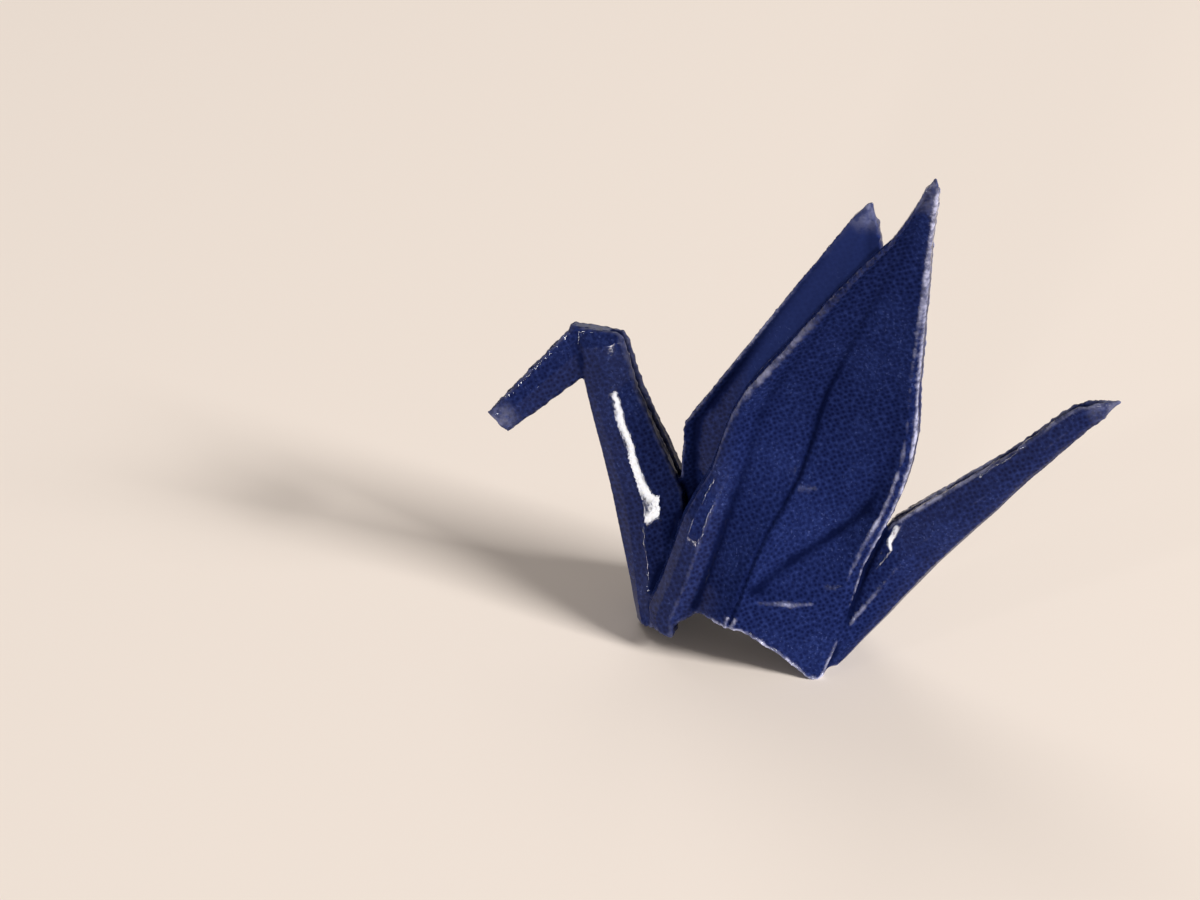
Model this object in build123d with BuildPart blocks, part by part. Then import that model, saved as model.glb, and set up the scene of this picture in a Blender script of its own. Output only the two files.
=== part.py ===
"""Origami crane folded from one small square sheet and coated with clear lacquer.

Frame: +X towards the tail, -Y towards the wing with the longer sweep, +Z up.
The origin is on the floor, under the middle of the crane's box.
"""
import os

from build123d import *

# Folded sheet: two layers of paper with lacquer, its rolled rims and the slit on its outer face
sheet_wall = 0.34
rim_wall = 0.50
wing_roll = 0.20
body_roll = 0.48
front_nose = 0.16
rear_bead = 0.09
slit_width = 0.16
slit_depth = 0.15
crease_depth = 0.42
tip_width = 0.26
tip_wall = 0.22
raw_edge_inset = 0.08
raw_edge_step = 0.03
overrun = 6.0

# Near side of the body and near wing
near_front_foot_x = -2.75
near_front_foot_y = -1.35
near_rear_foot_x = 2.38
near_rear_foot_y = -1.70
near_belly_bulge = 1.10
near_front_shoulder_x = -0.80
near_front_shoulder_y = -0.65
near_rear_shoulder_x = 4.36
near_rear_shoulder_y = -0.35
near_shoulder_height = 7.40
near_tip_x = 5.05
near_tip_y = -3.20
near_tip_height = 16.25
near_wing_cup = 0.45

# Far side of the body and far wing
far_front_foot_x = -2.75
far_front_foot_y = 1.50
far_rear_foot_x = 2.38
far_rear_foot_y = 1.45
far_belly_bulge = 1.00
far_front_shoulder_x = -2.45
far_front_shoulder_y = 0.90
far_rear_shoulder_x = 3.60
far_rear_shoulder_y = 1.00
far_shoulder_height = 6.20
far_tip_x = 2.98
far_tip_y = -1.20
far_tip_height = 14.45
far_wing_cup = 0.25

# Opening under the belly, between the two feet of each side
notch_height = 1.45
notch_front_x = -1.25
notch_rear_x = 0.10
notch_rear_height = 1.42
knee_x = 1.05
knee_height = 0.85
toe_x = -1.95
toe_height = 1.00
foot_length = 0.30
front_foot_lift = 0.66

# Hump between the wings
hump_wall = 0.60
hump_top_height = 6.30
hump_top_x = 1.00
hump_front_x = -3.30
hump_front_height = 2.60
hump_rear_x = 4.60
hump_rear_height = 3.00

# Neck: base, bend, top, brow and the crown above the brow, each with its width and thickness
neck_base_x = -2.75
neck_base_y = 0.10
neck_base_height = 0.12
neck_base_width = 1.50
neck_base_wall = 2.80
neck_bend_x = -3.50
neck_bend_y = 0.70
neck_bend_height = 3.70
neck_bend_width = 2.20
neck_bend_wall = 1.60
neck_top_x = -4.72
neck_top_y = 1.05
neck_top_height = 6.50
neck_top_width = 1.60
neck_top_wall = 1.12
brow_x = -5.18
brow_y = 1.17
brow_height = 7.95
brow_width = 1.54
brow_wall = 0.86
crown_x = -5.36
crown_y = 1.20
crown_rise = 0.43
crown_width = 1.50
crown_wall = 0.40

# Beak, folded down out of the head
beak_root_x = -5.52
beak_root_y = 1.22
beak_root_height = 7.90
beak_root_width = 1.40
beak_root_wall = 0.52
beak_tip_x = -7.98
beak_tip_y = 0.20
beak_tip_height = 5.42
beak_tip_width = 0.80
beak_tip_wall = 0.44

# Tail: base, mid, neck of the tail, knuckle and bent tip
tail_base_x = 2.10
tail_base_y = -0.15
tail_base_height = 0.25
tail_base_width = 1.30
tail_base_wall = 2.80
tail_root_x = 4.48
tail_root_y = 0.05
tail_root_height = 3.98
tail_root_width = 1.72
tail_root_wall = 1.20
tail_mid_x = 7.30
tail_mid_y = -0.10
tail_mid_height = 7.05
tail_mid_width = 0.90
tail_mid_wall = 0.70
tail_knuckle_x = 8.75
tail_knuckle_y = -0.25
tail_knuckle_height = 8.75
tail_knuckle_width = 0.74
tail_knuckle_wall = 0.54
tail_tip_x = 9.70
tail_tip_y = -0.35
tail_tip_height = 9.42
tail_tip_width = 0.24
tail_tip_wall = 0.20

# Shares up one side of the body, from floor to shoulder: how far its rims have run and leaned by there
body_rise_shares = (0, 0.16, 0.31, 0.34, 0.45, 0.56, 0.66, 0.76, 0.88, 1)
front_body_shares = (0, -0.10, 0.10, 0.13, 0.25, 0.37, 0.55, 0.74, 0.86, 1)
rear_body_shares = (0, 0.18, 0.30, 0.33, 0.42, 0.57, 0.73, 0.85, 0.95, 1)
body_lean_shares = (0, 0.26, 0.46, 0.50, 0.62, 0.74, 0.83, 0.91, 0.98, 1)

# Shares up one wing, from the shoulder to the tip: how far its rims have run and leaned by there
wing_rise_shares = (0.09, 0.20, 0.34, 0.48, 0.62, 0.73, 0.82, 0.92, 1)
curved_front_shares = (0.07, 0.195, 0.345, 0.495, 0.655, 0.795, 0.875, 0.955, 1)
curved_rear_shares = (0.01, 0.03, 0.16, 0.30, 0.44, 0.56, 0.69, 0.86, 1)
wing_lean_shares = (0.02, 0.08, 0.19, 0.32, 0.47, 0.61, 0.73, 0.88, 1)

# From belly to wing: how far the bulge has turned into the cup, and the roll of the body into the wing's rim
cup_turn_shares = (0, 0, 0, 0.03, 0.20, 0.42, 0.63, 0.79, 0.92, 1)
roll_turn_shares = (0.1, 0, 0, 0, 0.05, 0.20, 0.55, 0.85, 1, 1)

# Fold of the rear half: its place across the sheet and its depth, as shares of the width and crease depth
body_fold_shares = (0.70, 0.70, 0.72, 0.51, 0.645, 0.79, 0.87, 0.88, 0.86, 0.82)
body_fold_depth_shares = (-0.25, -0.30, -0.40, 0.50, 1, 1, 0.70, 0.30, 0, -0.10)
wing_fold_share = 0.78
wing_fold_depth_share = -0.2

# Across the sheet: slit, rolled front rim and rear bead, as shares of the width
slit_share = 0.46
slit_limit_share = 0.06
body_rim_share = 0.25
wing_rim_share = 0.16
roll_place_shares = (0.10, 0.32, 0.64, 1)
roll_height_shares = (0.55, 0.95, 0.90, -0.20)
flank_share = 0.5
flank_roll_share = 0.10
rear_middle_share = 0.55
bead_share = 0.95
inner_roll_share = 0.5
tip_roll_share = 0.5
groove_left_share = 0.3

# Across a folded point: its open edges, raw edges, round sides and spine, as shares of width and thickness
open_share = 0.33
half_share = 0.5
lip_share = 0.2
round_place_share = 0.25
round_wall_share = 0.42
spine_wall_share = 0.25
spine_edge_share = 0.12
hump_room_shares = (0.18, 0.29, 0.37, 0.41, 0.53, 0.66, 0.78, 0.9, 1)


def between(start, end, share):
    """Place on the straight line from start to end."""
    return tuple(a + (b - a) * share for a, b in zip(start, end))


def edge_place(start, end, run, lean):
    """Place of a rim that has run one share of its way along and leaned another across."""
    return start[0] + (end[0] - start[0]) * run, start[1] + (end[1] - start[1]) * lean


def polygon_at(plane, points):
    """Flat face with straight sides, drawn on the plane."""
    with BuildSketch(plane) as face:
        with BuildLine():
            Polyline(*points, close=True)
        make_face()
    return face.sketch


def chord_depth(cup, share):
    """Depth of the sheet without its rim and folds, where cup is the depth at the slit."""
    if share < slit_share:
        return cup * share / slit_share
    return cup * (1 - share) / (1 - slit_share)


def face_points(front, rear, rows, out):
    """Places on a level cut, each from its share of the width and its depth."""
    places = []
    for share, depth in rows:
        x, y = between(front, rear, share)
        places.append((x, y - out * depth))
    return places


def sheet_section(height, front, rear, cup, rim, fold, groove, walls, out):
    """Level cut through one side of the sheet, from its front rim to its rear rim.

    The outer face has a rolled front rim, the slit where the two raw edges meet, one fold
    and a bead at the rear rim. Rim and fold are each a share of the width and a depth. Cup
    draws the middle in, and out is the way that the outer face looks.
    """
    rim_share, roll = rim
    fold_share, fold_depth = fold
    wall, edge_wall = walls
    half_slit = min(slit_width * half_share / (rear[0] - front[0]), slit_limit_share)

    def chord(share):
        return chord_depth(cup, share)

    outer = [(0, min(front_nose, edge_wall * half_share))]
    for place_share, height_share in zip(roll_place_shares, roll_height_shares):
        share = rim_share * place_share
        outer.append((share, chord(share) - roll * height_share))
    flank = rim_share + (slit_share - rim_share) * flank_share
    rear_middle = fold_share + (bead_share - fold_share) * rear_middle_share
    outer += [
        (flank, chord(flank) + roll * flank_roll_share),
        (slit_share - half_slit, cup),
        (slit_share, cup + groove),
        (slit_share + half_slit, cup),
        (fold_share, chord(fold_share) + fold_depth),
        (rear_middle, chord(rear_middle) + fold_depth * (1 - rear_middle_share)),
        (bead_share, chord(bead_share) - rear_bead),
        (1, 0),
    ]
    crest = rim_share * roll_place_shares[1]
    inner = [
        (1, edge_wall),
        (fold_share, chord(fold_share) + fold_depth + wall),
        (slit_share, cup + groove + wall),
        (rim_share, chord(rim_share) + wall),
        (crest, chord(crest) - roll * inner_roll_share + wall),
        (0, edge_wall),
    ]
    points = face_points(front, rear, outer + inner, out)
    return polygon_at(Plane.XY.offset(height), points)


def side_stations(front_foot, rear_foot, bulge, front_shoulder, rear_shoulder, shoulder_height,
                  tip, tip_height, cup, front_wing_shares, rear_wing_shares):
    """Level cuts of one side of the body and its wing, as sheet_section takes them, floor to tip."""
    walls = (sheet_wall, rim_wall)
    body_rim = (body_rim_share, body_roll)
    wing_rim = (wing_rim_share, wing_roll)
    stations = []
    body_rows = zip(body_rise_shares, front_body_shares, rear_body_shares, body_lean_shares,
                    cup_turn_shares, roll_turn_shares, body_fold_shares, body_fold_depth_shares)
    for rise, front_run, rear_run, lean, cup_turn, roll_turn, fold_share, fold_depth_share in body_rows:
        front = edge_place(front_foot, front_shoulder, front_run, lean)
        rear = edge_place(rear_foot, rear_shoulder, rear_run, lean)
        depth = cup * cup_turn - bulge * (1 - cup_turn)
        rim = between(body_rim, wing_rim, roll_turn)
        fold = (fold_share, crease_depth * fold_depth_share)
        stations.append((shoulder_height * rise, front, rear, depth, rim, fold, slit_depth, walls))
    tip_front = (tip[0] - tip_width * half_share, tip[1])
    tip_rear = (tip[0] + tip_width * half_share, tip[1])
    wing_rows = zip(wing_rise_shares, front_wing_shares, rear_wing_shares, wing_lean_shares)
    for rise, front_run, rear_run, lean in wing_rows:
        front = edge_place(front_shoulder, tip_front, front_run, lean)
        rear = edge_place(rear_shoulder, tip_rear, rear_run, lean)
        height = shoulder_height + (tip_height - shoulder_height) * rise
        rim = (wing_rim_share, wing_roll * (1 - rise * tip_roll_share))
        fold = (wing_fold_share, crease_depth * wing_fold_depth_share * (1 - rise * tip_roll_share))
        groove = slit_depth * (1 - rise * (1 - groove_left_share))
        thin = between(walls, (tip_wall, tip_wall), rise)
        stations.append((height, front, rear, cup * (1 - rise), rim, fold, groove, thin))
    return stations


def middle_points(station, out):
    """Front rim, slit, fold and rear rim of one level cut, halfway through the sheet."""
    _, front, rear, cup, _, (fold_share, fold_depth), groove, (wall, edge_wall) = station
    rows = [
        (0, edge_wall * half_share),
        (slit_share, cup + groove + wall * half_share),
        (fold_share, chord_depth(cup, fold_share) + fold_depth + wall * half_share),
        (1, edge_wall * half_share),
    ]
    return face_points(front, rear, rows, out)


def middle_line(stations, height, out):
    """Line halfway through one side of the sheet at a height, from front rim to rear rim."""
    for low, high in zip(stations, stations[1:]):
        if low[0] <= height <= high[0]:
            share = (height - low[0]) / (high[0] - low[0])
            pairs = zip(middle_points(low, out), middle_points(high, out))
            return [between(start, end, share) for start, end in pairs]


def layer_section(place, across, way, width, wall, open_side):
    """Cut through a narrow folded point: open edges on one side, raw edges beside the spine."""
    plane = Plane(origin=place, x_dir=across * -open_side, z_dir=way)
    half = width * half_share
    raw_edge = half - raw_edge_inset
    spine = wall * spine_wall_share
    lip = slit_width * half_share
    side = [
        (-half, lip),
        (-half, lip + wall * lip_share),
        (-width * round_place_share, wall * round_wall_share),
        (0, wall * half_share),
        (width * round_place_share, wall * round_wall_share),
        (raw_edge, spine + raw_edge_step),
        (raw_edge, spine),
        (half, wall * spine_edge_share),
    ]
    mirrored = [(x, -y) for x, y in reversed(side)]
    slit = (-half + width * open_share, 0)
    return polygon_at(plane, side + mirrored + [slit])


def point_sections(stations, open_side, level_end=False):
    """Cuts across a folded point, each square to the line between its neighbours.

    With level_end the last cut is level.
    """
    cuts = []
    for index, (place, width, wall) in enumerate(stations):
        before = Vector(*stations[max(index - 1, 0)][0])
        after = Vector(*stations[min(index + 1, len(stations) - 1)][0])
        way = (after - before).normalized()
        if level_end and index == len(stations) - 1:
            way = Vector(0, 0, 1)
        across = Vector(0, 1, 0).cross(way).normalized()
        cuts.append(layer_section(place, across, way, width, wall, open_side))
    return cuts


near_stations = side_stations(
    (near_front_foot_x, near_front_foot_y),
    (near_rear_foot_x, near_rear_foot_y),
    near_belly_bulge,
    (near_front_shoulder_x, near_front_shoulder_y),
    (near_rear_shoulder_x, near_rear_shoulder_y),
    near_shoulder_height,
    (near_tip_x, near_tip_y),
    near_tip_height,
    near_wing_cup,
    curved_front_shares,
    curved_rear_shares,
)
far_stations = side_stations(
    (far_front_foot_x, far_front_foot_y),
    (far_rear_foot_x, far_rear_foot_y),
    far_belly_bulge,
    (far_front_shoulder_x, far_front_shoulder_y),
    (far_rear_shoulder_x, far_rear_shoulder_y),
    far_shoulder_height,
    (far_tip_x, far_tip_y),
    far_tip_height,
    far_wing_cup,
    wing_rise_shares,
    curved_rear_shares,
)

# Space between the two sides, and the roof of the hump inside it
with BuildPart() as hump:
    room = []
    for share in hump_room_shares:
        level = hump_top_height * share
        near_line = middle_line(near_stations, level, -1)
        far_line = middle_line(far_stations, level, 1)
        room.append(polygon_at(Plane.XY.offset(level), near_line + far_line[::-1]))
    loft(sections=room, ruled=True)
    with BuildSketch(Plane.XZ):
        with BuildLine():
            Polyline(
                (hump_front_x, hump_front_height),
                (hump_top_x, hump_top_height),
                (hump_rear_x, hump_rear_height),
                (hump_rear_x, hump_rear_height - hump_wall),
                (hump_top_x, hump_top_height - hump_wall),
                (hump_front_x, hump_front_height - hump_wall),
                close=True,
            )
        make_face()
    extrude(amount=overrun, both=True, mode=Mode.INTERSECT)

neck_stations = [
    ((neck_base_x, neck_base_y, neck_base_height), neck_base_width, neck_base_wall),
    ((neck_bend_x, neck_bend_y, neck_bend_height), neck_bend_width, neck_bend_wall),
    ((neck_top_x, neck_top_y, neck_top_height), neck_top_width, neck_top_wall),
    ((brow_x, brow_y, brow_height), brow_width, brow_wall),
    ((crown_x, crown_y, brow_height + crown_rise), crown_width, crown_wall),
]
beak_stations = [
    ((beak_root_x, beak_root_y, beak_root_height), beak_root_width, beak_root_wall),
    ((beak_tip_x, beak_tip_y, beak_tip_height), beak_tip_width, beak_tip_wall),
]
tail_stations = [
    ((tail_base_x, tail_base_y, tail_base_height), tail_base_width, tail_base_wall),
    ((tail_root_x, tail_root_y, tail_root_height), tail_root_width, tail_root_wall),
    ((tail_mid_x, tail_mid_y, tail_mid_height), tail_mid_width, tail_mid_wall),
    ((tail_knuckle_x, tail_knuckle_y, tail_knuckle_height), tail_knuckle_width, tail_knuckle_wall),
    ((tail_tip_x, tail_tip_y, tail_tip_height), tail_tip_width, tail_tip_wall),
]

os.makedirs("parts", exist_ok=True)

with BuildPart() as folded_crane:
    for stations, out in ((near_stations, -1), (far_stations, 1)):
        cuts = [sheet_section(*station, out) for station in stations]
        loft(sections=cuts, ruled=True)
    # Open belly: the lower edge of each side rises between its feet
    with BuildSketch(Plane.XZ):
        with BuildLine():
            Polyline(
                (near_front_foot_x - overrun, 0),
                (near_front_foot_x - overrun, front_foot_lift),
                (toe_x, front_foot_lift),
                (toe_x, toe_height),
                (notch_front_x, notch_height),
                (notch_rear_x, notch_rear_height),
                (knee_x, knee_height),
                (near_rear_foot_x - foot_length, 0),
                close=True,
            )
        make_face()
    extrude(amount=overrun, both=True, mode=Mode.SUBTRACT)
    add(hump.part)
    loft(sections=point_sections(neck_stations, 1, level_end=True), ruled=True)
    loft(sections=point_sections(beak_stations, 1), ruled=True)
    loft(sections=point_sections(tail_stations, -1), ruled=True)
    split(bisect_by=Plane.XY, keep=Keep.TOP)

# The origin goes under the middle of the crane's box, on the floor
box = folded_crane.part.bounding_box()
under_middle = Location((-box.center().X, -box.center().Y, -box.min.Z))
crane = folded_crane.part.moved(under_middle)
crane.label = "folded_crane"
export_step(crane, "parts/folded_crane.step")
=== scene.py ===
import math

import bpy
import numpy as np
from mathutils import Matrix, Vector, noise
from mathutils.kdtree import KDTree


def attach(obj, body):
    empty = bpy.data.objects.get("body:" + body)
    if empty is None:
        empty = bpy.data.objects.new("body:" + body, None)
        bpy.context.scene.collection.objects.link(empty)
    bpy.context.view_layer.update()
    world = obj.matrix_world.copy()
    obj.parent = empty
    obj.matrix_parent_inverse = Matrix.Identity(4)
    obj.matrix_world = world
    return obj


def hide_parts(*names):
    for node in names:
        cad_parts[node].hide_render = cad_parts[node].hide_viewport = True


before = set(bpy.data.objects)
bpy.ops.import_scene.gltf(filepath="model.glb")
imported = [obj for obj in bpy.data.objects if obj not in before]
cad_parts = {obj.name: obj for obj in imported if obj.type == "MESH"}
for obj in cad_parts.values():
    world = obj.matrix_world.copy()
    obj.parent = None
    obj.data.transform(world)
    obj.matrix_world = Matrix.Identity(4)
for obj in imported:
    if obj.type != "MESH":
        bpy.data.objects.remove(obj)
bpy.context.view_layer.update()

# One millimetre in scene units
mm = 0.001

# The photograph's frame and its lens, in pixels, and the sensor's width
image_width = 1200
focal_pixels = 2800
sensor_width = 36.0

# Camera: the floor point on its axis, its distance, the way it looks and the depths that it sees
aim_x = -8.62 * mm
aim_y = 9.27 * mm
camera_distance = 90.3 * mm
camera_azimuth = math.radians(19.3)
camera_elevation = math.radians(28.97)
nearest_seen = 1 * mm
farthest_seen = 10000 * mm

# Lamps: distance, colour, height they look at, then each one's azimuth, elevation, size and level
lamp_distance = 900 * mm
lamp_white = (1.0, 0.97, 0.94)
lamp_aim_height = 6 * mm
lamps = {
    "key": (79, 31, 240 * mm, 190 * mm, 76),
    "front_strip": (1.2, 4, 52 * mm, 138 * mm, 120),
    "left_strip": (-38.7, 2.3, 48 * mm, 124 * mm, 160),
    "back_fill": (215, 40, 600 * mm, 400 * mm, 2.6),
}
world_strength = 0.18

# Floor: half its width, and its dull finish
floor_half = 1500 * mm
floor_roughness = 0.9
floor_specular = 0.1

# Folded sheet: how finely it is meshed, and how far its folds are rounded under the lacquer
mesh_step = 0.055 * mm
mesh_faces = 190000
rounding_passes = 5
rounding_pull = 0.5
swelling_pull = -0.42
lacquer_swell = 0.012 * mm
ripple_size = 0.9 * mm
ripple_height = 0.022 * mm
bead_size = 0.16 * mm
bead_height = 0.045 * mm

# Spreading of values along the mesh: the neighbours' share in each pass, and the least total weight
neighbour_share = 0.5
least_weight = 1e-9

# Shading: how far the normals of smooth faces are evened out, and the turn that counts as a fold
evening_passes = 110
fold_turn = 0.07

# Wear and painted light: how sharp an edge is worn pale, partly as a painted highlight, and how hollow a
# fold is painted in shade
bend_spread_passes = 3
wear_start = 0.035
wear_full = 0.09
crease_start = 0.012
crease_full = 0.06
crease_spread_passes = 14
crease_gain = 2.4

# Tips: place, reach of the pale end, reach of the point and how much of its width is left
near_tip = (4.31 * mm, -2.70 * mm, 16.25 * mm)
far_tip = (2.24 * mm, -0.70 * mm, 14.45 * mm)
beak_tip = (-8.72 * mm, 0.70 * mm, 5.42 * mm)
tail_tip = (8.98 * mm, 0.15 * mm, 9.42 * mm)
near_root = (3.2 * mm, -0.60 * mm, 9.0 * mm)
far_root = (0.6 * mm, 0.60 * mm, 9.0 * mm)
tail_knuckle = (7.9 * mm, 0.15 * mm, 8.9 * mm)
pale_tips = [(near_tip, 1.6 * mm), (far_tip, 1.0 * mm), (beak_tip, 0.8 * mm), (tail_tip, 1.0 * mm)]
sharp_tips = [
    (near_tip, near_root, 0.55 * mm, 0.12),
    (far_tip, far_root, 0.55 * mm, 0.35),
    (tail_tip, tail_knuckle, 0.60 * mm, 0.25),
]
tip_wear = 0.30

# Slit of each wing: a leaning line on its outer face, whose painted crease shade fades towards the tip
slit_x = 1.0 * mm
slit_height = 7.4 * mm
slit_lean = 0.37
slit_foot = 1.8 * mm
slit_top = 11.0 * mm
slit_half_width = 0.45 * mm
slit_fade = 3.0 * mm
faded_crease = 0.25

# Raw edges and painted highlights: the rear rims of the wings are palest, as wear and as a painted
# highlight, the folded front rims are paler only up to the shoulder, as a painted highlight, and the neck
# and tail stay darker
front_rim_foot = slit_height / 2
front_rim_wear_and_highlight = 0.42
shoulder_top = 11.6 * mm
shoulder_fade = 2.4 * mm
neck_rear_x = -1.2 * mm
tail_line_x = 2.5 * mm
tail_line_height = 4.0 * mm
tail_lean = 0.92
tail_middle_y = 0.45 * mm
tail_half_width = 0.95 * mm
point_wear = 0.12

# Inside faces, painted lighter as painted light: the leaning surface halfway between the wings, and where
# the faces that they turn to it begin
gap_height = 9.0 * mm
gap_depth = 0.29 * mm
gap_depth_limit = 0.78 * mm
gap_lean = -0.30
gap_sway = 0.13
inside_foot = 5.5 * mm
inside_gain = 2.0

# Gloss: the lacquer lies thick on the neck, the tail and near every edge, and thin on broad faces
gloss_blend = 0.7 * mm
gloss_spread_passes = 9
thin_gloss = 0.03
thick_gain = 2.0
thick_start = 0.3

# Weave of the paper: pitch of its dots, how far they stray from rows and the turns of the rows in degrees
weave_pitch = 0.145 * mm
weave_stray = 0.60
weave_turns = (105, 18, 28)

# Grains of the paper and the lacquer: size and detail of each
cloud_grain = (1.7 * mm, 4)
fibre_grain = (0.10 * mm, 3)
fleck_grain = (0.09 * mm, 2)
patch_grain = (0.30 * mm, 3)
bead_grain = (0.13 * mm, 1)
grain_roughness = 0.6

# Ramps: where each starts and ends, and the shares that it goes between
dot_ramp = (0.05, 0.40, 1.0, 0.0)
net_ramp = (0.30, 0.60, 0.0, 1.0)
pale_clouds = (0.45, 0.70, 0.0, 1.0)
pale_fibres = (0.40, 0.65, 0.0, 1.0)
net_fibres = (0.35, 0.70, 0.0, 1.0)
dot_clouds = (0.65, 0.40, 0.30, 0.75)
# Ramps of the flecks painted as glints
fleck_ramp = (0.60, 0.72, 0.0, 1.0)
fleck_clouds = (0.42, 0.62, 0.0, 1.0)
patch_ramp = (0.38, 0.62, 0.25, 1.0)
crease_gloss = (0.1, 0.7, 1.0, 0.1)

# Paint: how strongly the painted light on the inside faces, the flecks painted as glints and the painted
# shade in the creases are coloured
inside_light_paint = 0.75
glint_fleck_paint = 0.55
crease_shade_paint = 0.90

# Relief: strength and height of the weave, the skin of the lacquer and its beads
weave_relief = (0.10, 0.02 * mm)
skin_relief = (0.05, 0.02 * mm)
bead_relief = (1.0, 0.12 * mm)

# Finish of the paper and the clear lacquer
paper_roughness = 0.42
lacquer_roughness = 0.04
lacquer_ior = 1.2

# Sockets of a mix node that take and give colours
first_colour = 6
second_colour = 7
mixed_colour = 2

# Colours, linear
navy = (0.0075, 0.0132, 0.067, 1)
navy_pale = (0.0155, 0.0270, 0.116, 1)
navy_deep = (0.0022, 0.0042, 0.026, 1)
# Paler navy painted on the inside faces as painted light
navy_inside_lit = (0.0175, 0.0290, 0.122, 1)
# Pale lavender of worn raw edges, bright enough to be a painted highlight on the rims
edge_lavender_and_highlight = (0.52, 0.54, 0.76, 1)
# Light blue of flecks painted as glints
glint_fleck_blue = (0.055, 0.080, 0.24, 1)
floor_cream = (0.83, 0.755, 0.69, 1)
world_cream = (1.0, 0.915, 0.86, 1)


def point_from(azimuth, elevation, distance, target):
    """Place at a distance from the target, in a direction given by its azimuth and elevation."""
    flat = math.cos(elevation)
    way = Vector((math.sin(azimuth) * flat, -math.cos(azimuth) * flat, math.sin(elevation)))
    return target + way * distance


def look_at(thing, target):
    """Turns a lamp or camera towards a place."""
    thing.rotation_euler = (target - thing.location).to_track_quat("-Z", "Y").to_euler()


def bake(piece, kind, **settings):
    """Gives the piece its mesh after one modifier."""
    modifier = piece.modifiers.new(kind.title(), kind)
    for key, value in settings.items():
        setattr(modifier, key, value)
    depsgraph = bpy.context.evaluated_depsgraph_get()
    mesh = bpy.data.meshes.new_from_object(piece.evaluated_get(depsgraph))
    piece.modifiers.clear()
    piece.data = mesh


def read_vectors(items, key):
    """Array of the vectors that a mesh keeps under a key."""
    values = np.empty(len(items) * 3, dtype=np.float32)
    items.foreach_get(key, values)
    return values.reshape(-1, 3).astype(float)


def read_ends(mesh):
    """First and second point of each edge of a mesh."""
    ends = np.empty(len(mesh.edges) * 2, dtype=np.int32)
    mesh.edges.foreach_get("vertices", ends)
    return ends.reshape(-1, 2).T


def move_points(mesh, places):
    """Moves the points of a mesh to their places and gives their new normals."""
    mesh.vertices.foreach_set("co", places.ravel())
    mesh.update()
    return read_vectors(mesh.vertex_normals, "vector")


def spread(values, ends, weights):
    """Weighted mean of each point's neighbours along the edges, for a value or a vector at each point."""
    first, second = ends
    size = len(values)
    total = np.bincount(first, weights, size) + np.bincount(second, weights, size)
    sums = []
    for column in values.reshape(size, -1).T:
        forth = np.bincount(first, weights * column[second], size)
        back = np.bincount(second, weights * column[first], size)
        sums.append(forth + back)
    return (np.stack(sums, 1) / total.clip(least_weight)[:, None]).reshape(values.shape)


def soften(values, ends, passes):
    """Values that run softly into those of their neighbours."""
    even = np.ones(len(ends[0]))
    for _ in range(passes):
        values = (1 - neighbour_share) * values + neighbour_share * spread(values, ends, even)
    return values


def round_folds(places, ends):
    """Rounds the folds and evens the faces, with little loss of size."""
    even = np.ones(len(ends[0]))
    for _ in range(rounding_passes):
        for pull in (rounding_pull, swelling_pull):
            places = places + pull * (spread(places, ends, even) - places)
    return places


def sharpen_tips(places):
    """Draws the ends of the wings and the tail to points."""
    for tip, root, reach, left_share in sharp_tips:
        tip = np.array(tip)
        inward = np.array(root) - tip
        inward = inward / np.linalg.norm(inward)
        along = (places - tip) @ inward
        beside = places - tip - along[:, None] * inward
        close = (along < reach) & (np.linalg.norm(beside, axis=1) < reach)
        share = left_share + (1 - left_share) * np.clip(along / reach, 0, 1)
        places = np.where(close[:, None], places - beside * (1 - share)[:, None], places)
    return places


def noise_at(places, size):
    """Smooth noise between -1 and 1 at each place, with features of the given size."""
    return np.array([noise.noise(Vector(place)) for place in places / size])


def lacquer_lift(places, edges):
    """How far the lacquer stands off the sheet, with a slight ripple and with beads along the edges."""
    lift = lacquer_swell + ripple_height * noise_at(places, ripple_size)
    return lift + bead_height * edges * noise_at(places, bead_size)


def even_normals(normals, ends):
    """Normals evened out along smooth faces but not across folds."""
    first, second = ends
    for _ in range(evening_passes):
        turn = np.linalg.norm(normals[first] - normals[second], axis=1)
        normals = normals + spread(normals, ends, np.exp(-(turn / fold_turn) ** 2))
        normals = normals / np.linalg.norm(normals, axis=1)[:, None]
    return normals


def fold_bends(places, normals, ends):
    """How sharply the sheet bends at each point: above zero on edges, below zero in creases."""
    even = np.ones(len(ends[0]))
    bends = ((places - spread(places, ends, even)) * normals).sum(1) / mesh_step
    return soften(bends, ends, bend_spread_passes)


def slit_middle(places):
    """Where the slit of a wing lies along the crane, at the height of each point."""
    return slit_x + (places[:, 2] - slit_height) * slit_lean


def sharp_edges(bends, places):
    """How sharp an edge each point is on, apart from the lips of the slits."""
    level = (places[:, 2] > slit_foot) & (places[:, 2] < slit_top)
    lips = level & (abs(places[:, 0] - slit_middle(places)) < slit_half_width)
    return np.clip((bends - wear_start) / (wear_full - wear_start), 0, 1) * ~lips


def soft_crease_shade(bends, places, ends):
    """How deep in a crease each point is, with a soft margin, which gives the share of painted shade there.
    """
    hollow = np.clip((-bends - crease_start) / (crease_full - crease_start), 0, 1)
    hollow = hollow * np.clip((slit_top - places[:, 2]) / slit_fade, faded_crease, 1)
    margin = soften(hollow, ends, crease_spread_passes)
    return np.clip(np.maximum(hollow, crease_gain * margin), 0, 1)


def tip_shares(places):
    """How near each point is to a tip that is worn pale."""
    shares = np.zeros(len(places))
    for tip, reach in pale_tips:
        distance = np.linalg.norm(places - np.array(tip), axis=1)
        shares = np.maximum(shares, tip_wear * np.clip((reach - distance) / reach, 0, 1))
    return shares


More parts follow.
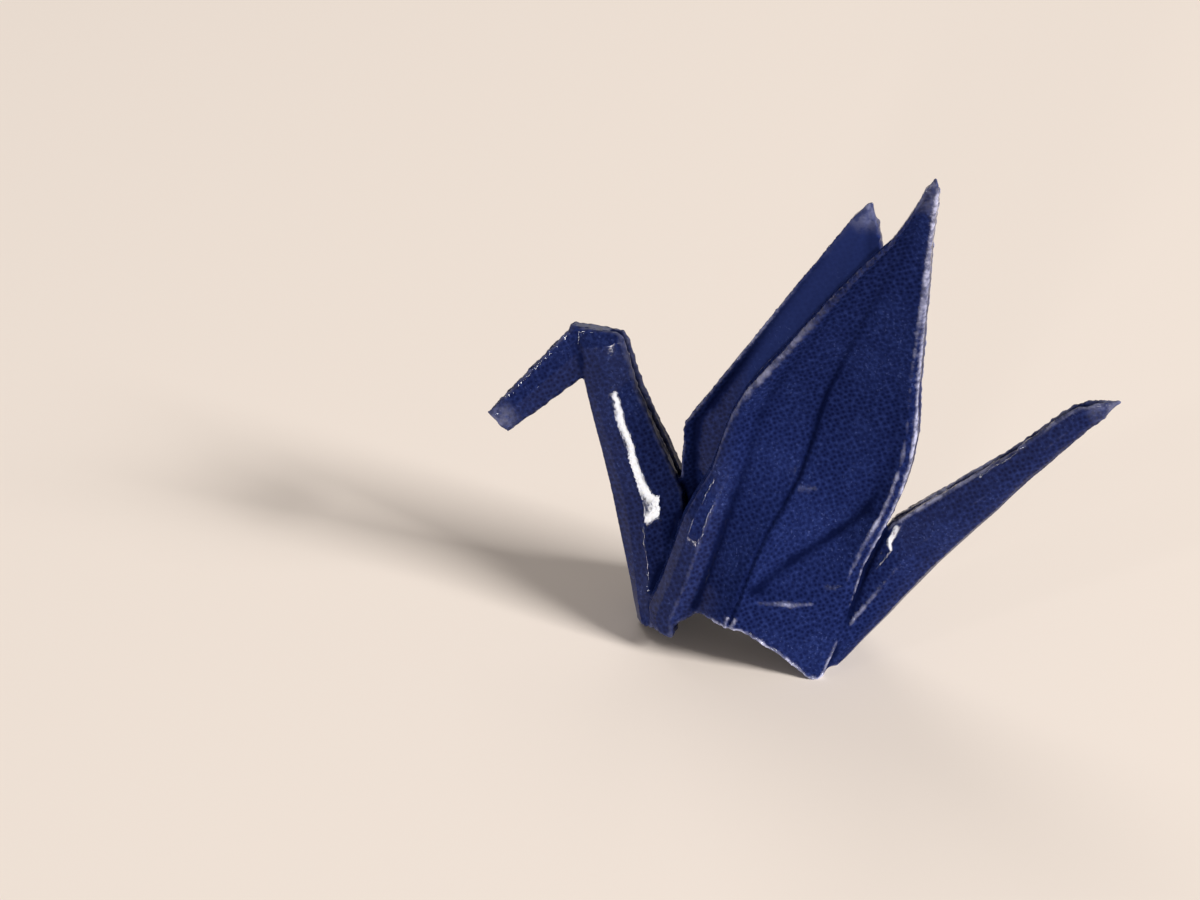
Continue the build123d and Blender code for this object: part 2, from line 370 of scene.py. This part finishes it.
def point_shares(places):
    """One on the neck and the tail, zero on the body and the wings, with a soft change between them."""
    neck = (neck_rear_x - places[:, 0]) / gloss_blend
    tail_front = tail_line_x + (places[:, 2] - tail_line_height) * tail_lean
    tail_side = (tail_half_width - abs(places[:, 1] - tail_middle_y)) / gloss_blend
    tail = np.minimum((places[:, 0] - tail_front) / gloss_blend, tail_side)
    return np.clip(np.maximum(neck, tail), 0, 1)


def rim_wear_and_highlight_shares(places):
    """How much of the wear of an edge, with its painted highlight, shows at each point."""
    front = (places[:, 0] < slit_middle(places)) & (places[:, 2] > front_rim_foot)
    shoulder = np.clip((shoulder_top - places[:, 2]) / shoulder_fade, 0, 1)
    shares = np.where(front, front_rim_wear_and_highlight * shoulder, 1.0)
    points = point_shares(places)
    return shares * (1 - points) + point_wear * points


def inside_light_shares(places, normals):
    """One on the faces that the wings turn to each other, which get painted light, zero elsewhere."""
    middle = gap_depth + (places[:, 2] - gap_height) * gap_lean + places[:, 0] * gap_sway
    middle = np.minimum(middle, gap_depth_limit)
    inward = np.where(places[:, 1] > middle, -normals[:, 1], normals[:, 1])
    high = np.clip((places[:, 2] - inside_foot) / gloss_blend, 0, 1)
    return np.clip(inside_gain * inward, 0, 1) * high * (1 - point_shares(places))


def gloss_shares(places, edges, ends):
    """How thick the lacquer lies at each point."""
    even = np.ones(len(ends[0]))
    thick = edges
    for _ in range(gloss_spread_passes):
        thick = np.maximum(thick, spread(thick, ends, even))
    thick = np.clip(thick_gain * thick - thick_start, 0, 1)
    return np.maximum(thin_gloss, np.maximum(thick, point_shares(places)))


def tree_of(places):
    """Search tree that finds the nearest of these places."""
    tree = KDTree(len(places))
    for index, place in enumerate(places):
        tree.insert(place, index)
    tree.balance()
    return tree


def make_crane(node):
    """The folded sheet with its folds rounded under lacquer, its tips drawn out and its edges beaded."""
    piece = bpy.data.objects.new("lacquered_crane", node.data.copy())
    bpy.context.scene.collection.objects.link(piece)
    bake(piece, "REMESH", mode="VOXEL", voxel_size=mesh_step, use_smooth_shade=True)
    mesh = piece.data
    ends = read_ends(mesh)
    places = sharpen_tips(round_folds(read_vectors(mesh.vertices, "co"), ends))
    normals = move_points(mesh, places)
    bends = fold_bends(places, normals, ends)
    edges = sharp_edges(bends, places)
    painted_crease_shade = soft_crease_shade(bends, places, ends)
    places = places + normals * lacquer_lift(places, edges)[:, None]
    normals = even_normals(move_points(mesh, places), ends)
    # Shares for the paint: worn edges with a painted highlight, painted shade in creases and painted light
    # on inside faces
    shares = {
        "wear_and_highlight": np.maximum(edges * rim_wear_and_highlight_shares(places), tip_shares(places)),
        "crease_shade": painted_crease_shade,
        "inside_light": inside_light_shares(places, normals),
        "gloss": gloss_shares(places, edges, ends),
    }
    tree = tree_of(places)
    triangles = sum(len(polygon.vertices) - 2 for polygon in mesh.polygons)
    bake(piece, "DECIMATE", ratio=min(1, mesh_faces / triangles))
    nearest = [tree.find(vertex.co)[1] for vertex in piece.data.vertices]
    for name, values in shares.items():
        attribute = piece.data.attributes.new(name, "FLOAT", "POINT")
        attribute.data.foreach_set("value", values[nearest].astype(np.float32))
    piece.data.normals_split_custom_set_from_vertices(normals[nearest])
    return piece


def node_link(tree, kind, inputs=None, **settings):
    """New shader node with its settings, its input values and its input links."""
    node = tree.nodes.new(kind)
    for key, value in settings.items():
        setattr(node, key, value)
    for key, value in (inputs or {}).items():
        if isinstance(value, bpy.types.NodeSocket):
            tree.links.new(value, node.inputs[key])
        else:
            node.inputs[key].default_value = value
    return node


def ramp(tree, value, limits):
    """Share that goes smoothly from low to high as the value goes from start to full."""
    start, full, low, high = limits
    return node_link(tree, "ShaderNodeMapRange", {
        "Value": value, "From Min": start, "From Max": full, "To Min": low, "To Max": high,
    }, interpolation_type="SMOOTHSTEP").outputs["Result"]


def times(tree, first, second):
    """Product of two values."""
    return node_link(tree, "ShaderNodeMath", {0: first, 1: second}, operation="MULTIPLY").outputs[0]


def mixed(tree, share, first, second):
    """Colour between two colours."""
    return node_link(tree, "ShaderNodeMix", {
        "Factor": share, first_colour: first, second_colour: second,
    }, data_type="RGBA").outputs[mixed_colour]


def carried(tree, name):
    """Share that the points of the mesh carry under a name."""
    return node_link(tree, "ShaderNodeAttribute", attribute_name=name).outputs["Fac"]


def grain(tree, place, size, detail):
    """Noise with features of the given size."""
    return node_link(tree, "ShaderNodeTexNoise", {
        "Vector": place, "Scale": 1 / size, "Detail": detail, "Roughness": grain_roughness,
    }).outputs["Fac"]


def bump(tree, height, relief, invert=False, **under):
    """Normal of a surface with this height, over another normal where one is given."""
    strength, distance = relief
    inputs = {"Height": height, "Strength": strength, "Distance": distance, **under}
    return node_link(tree, "ShaderNodeBump", inputs, invert=invert).outputs["Normal"]


def weave_cells(tree, place):
    """Distance from the middle of each dot of the weave."""
    turned = node_link(tree, "ShaderNodeMapping", {
        "Vector": place, "Rotation": [math.radians(angle) for angle in weave_turns],
    }).outputs["Vector"]
    return node_link(tree, "ShaderNodeTexVoronoi", {
        "Vector": turned, "Scale": 1 / weave_pitch, "Randomness": weave_stray,
    }, voronoi_dimensions="2D").outputs["Distance"]


def paper_colour(tree, place, cells, dots, fibres):
    """Navy with a pale net around dark dots, painted light on the inside faces, flecks painted as glints,
    painted shade in the creases and worn edges painted pale, partly as a painted highlight.
    """
    clouds = grain(tree, place, *cloud_grain)
    pale = times(tree, ramp(tree, clouds, pale_clouds), ramp(tree, fibres, pale_fibres))
    net = times(tree, ramp(tree, cells, net_ramp), ramp(tree, fibres, net_fibres))
    dark = times(tree, dots, ramp(tree, clouds, dot_clouds))
    # Flecks painted as glints
    specks = ramp(tree, grain(tree, place, *fleck_grain), fleck_ramp)
    glint_flecks = times(tree, specks, ramp(tree, clouds, fleck_clouds))
    patches = ramp(tree, grain(tree, place, *patch_grain), patch_ramp)
    layers = [
        (pale, navy_pale),
        (net, navy_pale),
        (dark, navy_deep),
        # Painted light on the inside faces
        (times(tree, carried(tree, "inside_light"), inside_light_paint), navy_inside_lit),
        # Flecks painted as glints
        (times(tree, glint_flecks, glint_fleck_paint), glint_fleck_blue),
        # Painted shade in the creases
        (times(tree, carried(tree, "crease_shade"), crease_shade_paint), navy_deep),
        # Worn edges painted pale, partly as a painted highlight
        (times(tree, carried(tree, "wear_and_highlight"), patches), edge_lavender_and_highlight),
    ]
    colour = navy
    for share, paint in layers:
        colour = mixed(tree, share, colour, paint)
    return colour


def lacquer_material():
    """Navy paper with fine dark dots under clear gloss, with painted light, shade and highlights, and with
    beads of lacquer on its worn edges.
    """
    material = bpy.data.materials.new("navy_lacquered_paper")
    material.use_nodes = True
    tree = material.node_tree
    tree.nodes.clear()
    place = node_link(tree, "ShaderNodeTexCoord").outputs["Object"]
    cells = weave_cells(tree, place)
    dots = ramp(tree, cells, dot_ramp)
    fibres = grain(tree, place, *fibre_grain)
    skin = bump(tree, fibres, skin_relief)
    beads = times(tree, carried(tree, "wear_and_highlight"), grain(tree, place, *bead_grain))
    creased = ramp(tree, carried(tree, "crease_shade"), crease_gloss)
    shader = node_link(tree, "ShaderNodeBsdfPrincipled", {
        "Base Color": paper_colour(tree, place, cells, dots, fibres),
        "Roughness": paper_roughness,
        "Specular IOR Level": 0.0,
        "Coat Weight": times(tree, carried(tree, "gloss"), creased),
        "Coat Roughness": lacquer_roughness,
        "Coat IOR": lacquer_ior,
        "Normal": bump(tree, dots, weave_relief, invert=True),
        "Coat Normal": bump(tree, beads, bead_relief, Normal=skin),
    })
    node_link(tree, "ShaderNodeOutputMaterial", {"Surface": shader.outputs["BSDF"]})
    return material


def make_floor():
    """Plain pale floor under the crane."""
    corners = [(x, y, 0) for x, y in ((-1, -1), (1, -1), (1, 1), (-1, 1))]
    mesh = bpy.data.meshes.new("floor")
    mesh.from_pydata([Vector(corner) * floor_half for corner in corners], [], [range(len(corners))])
    floor = bpy.data.objects.new("floor", mesh)
    bpy.context.scene.collection.objects.link(floor)
    material = bpy.data.materials.new("cream_paper")
    material.use_nodes = True
    shader = material.node_tree.nodes["Principled BSDF"]
    shader.inputs["Base Color"].default_value = floor_cream
    shader.inputs["Roughness"].default_value = floor_roughness
    shader.inputs["Specular IOR Level"].default_value = floor_specular
    floor.data.materials.append(material)


def add_lamp(name, azimuth, elevation, width, height, level):
    """Flat soft lamp that looks at the middle of the crane, with its brightness as a level."""
    target = Vector((0, 0, lamp_aim_height))
    lamp = bpy.data.objects.new(name, bpy.data.lights.new(name, "AREA"))
    lamp.data.shape = "RECTANGLE"
    lamp.data.size = width
    lamp.data.size_y = height
    lamp.data.energy = level * math.pi * width * height
    lamp.data.color = lamp_white
    lamp.location = point_from(math.radians(azimuth), math.radians(elevation), lamp_distance, target)
    lamp.visible_camera = False
    look_at(lamp, target)
    bpy.context.scene.collection.objects.link(lamp)


def make_lights():
    """A soft key lamp on the right, two strips for the gloss, a fill behind and an even pale world."""
    for name, settings in lamps.items():
        add_lamp(name, *settings)
    world = bpy.data.worlds.new("studio")
    bpy.context.scene.world = world
    world.use_nodes = True
    background = world.node_tree.nodes["Background"]
    background.inputs["Color"].default_value = world_cream
    background.inputs["Strength"].default_value = world_strength


def make_camera():
    """Camera at the photograph's viewing angle."""
    aim = Vector((aim_x, aim_y, 0))
    camera = bpy.data.objects.new("camera", bpy.data.cameras.new("camera"))
    camera.data.sensor_width = sensor_width
    camera.data.lens = sensor_width * focal_pixels / image_width
    camera.data.clip_start = nearest_seen
    camera.data.clip_end = farthest_seen
    camera.location = point_from(camera_azimuth, camera_elevation, camera_distance, aim)
    look_at(camera, aim)
    bpy.context.scene.collection.objects.link(camera)
    bpy.context.scene.camera = camera


bpy.context.scene.view_settings.view_transform = "Standard"
crane = make_crane(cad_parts["folded_crane"])
crane.data.materials.clear()
crane.data.materials.append(lacquer_material())
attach(crane, "root")
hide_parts("folded_crane")
make_floor()
make_lights()
make_camera()
